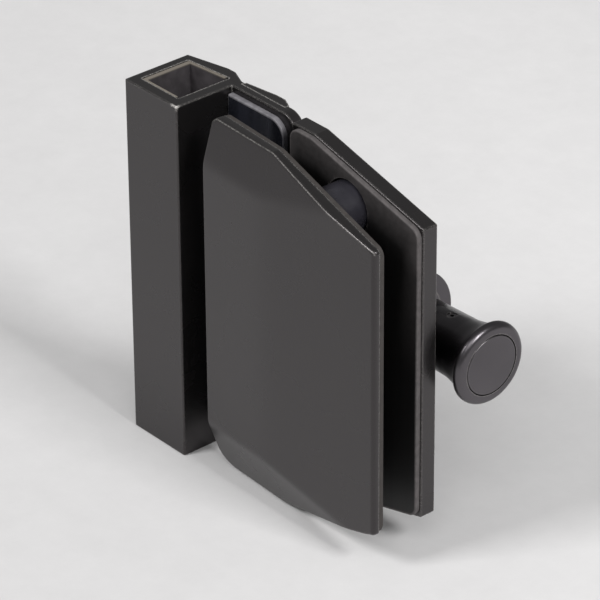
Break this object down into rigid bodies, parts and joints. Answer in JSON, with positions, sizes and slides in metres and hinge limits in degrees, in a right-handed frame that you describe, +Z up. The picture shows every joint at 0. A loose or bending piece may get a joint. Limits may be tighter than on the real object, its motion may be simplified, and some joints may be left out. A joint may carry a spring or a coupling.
{
  "type": "glass pool gate latch",
  "caption": "Glass pool gate latch: a post section with a stop plate for the wall, and a two-plate glass clamp that carries a sprung bolt in a barrel with a pull knob.",
  "frame": {"origin": "middle of the face that lies on the wall or post", "axes": "+X from the wall along the gate to the pull knob, +Y from the outside to the pool side, where the bolt is, +Z up"},
  "size_m": [0.0987, 0.0449, 0.1],
  "materials": {
    "black_powder_coat": "satin",
    "dark_satin_metal": "satin",
    "gasket_rubber": "satin",
    "stop_rubber": "gloss",
    "black_plastic": "gloss",
    "stainless_steel": "brushed",
    "black_screws": "satin",
    "bearing_plastic": "matte"
  },
  "bodies": {
    "latch": {"receiver_body": "black_powder_coat", "backing_channel": "stainless_steel", "access_plugs": "black_plastic", "stop_gasket": "stop_rubber", "striker_block": "black_powder_coat", "striker_screws": "black_screws", "back_plate": "black_powder_coat", "back_gasket": "gasket_rubber", "upper_sleeve": "black_plastic", "lower_sleeve": "black_plastic", "upper_spacer": "stainless_steel", "lower_spacer": "stainless_steel", "clamp_screws": "stainless_steel", "bolt_housing": "black_powder_coat", "housing_screws": "stainless_steel", "end_cap": "black_powder_coat", "rod_bush": "bearing_plastic", "guide_screw": "stainless_steel", "buffer_ring": "gasket_rubber", "spring_washer": "stainless_steel"},
    "bolt": {"latch_bolt": "stainless_steel", "bolt_rod": "stainless_steel", "knob": "dark_satin_metal", "knob_cap": "dark_satin_metal", "knob_grub_screw": "black_screws", "return_spring": "stainless_steel"},
    "cover": {"front_plate": "black_powder_coat", "front_gasket": "gasket_rubber"}
  },
  "joints": [
    {"name": "bolt_slide", "type": "slide", "parent": "latch", "child": "bolt", "axis": [1, 0, 0], "range_m": [0, 0.012], "stiffness_N_per_m": 600, "springref_m": -0.01, "deforming": ["return_spring"]},
    {"name": "cover_tip", "type": "hinge", "parent": "latch", "child": "cover", "pos_m": [0.066, -0.0041, 0], "axis": [0, 0, 1], "range_deg": [0, 4]}
  ]
}
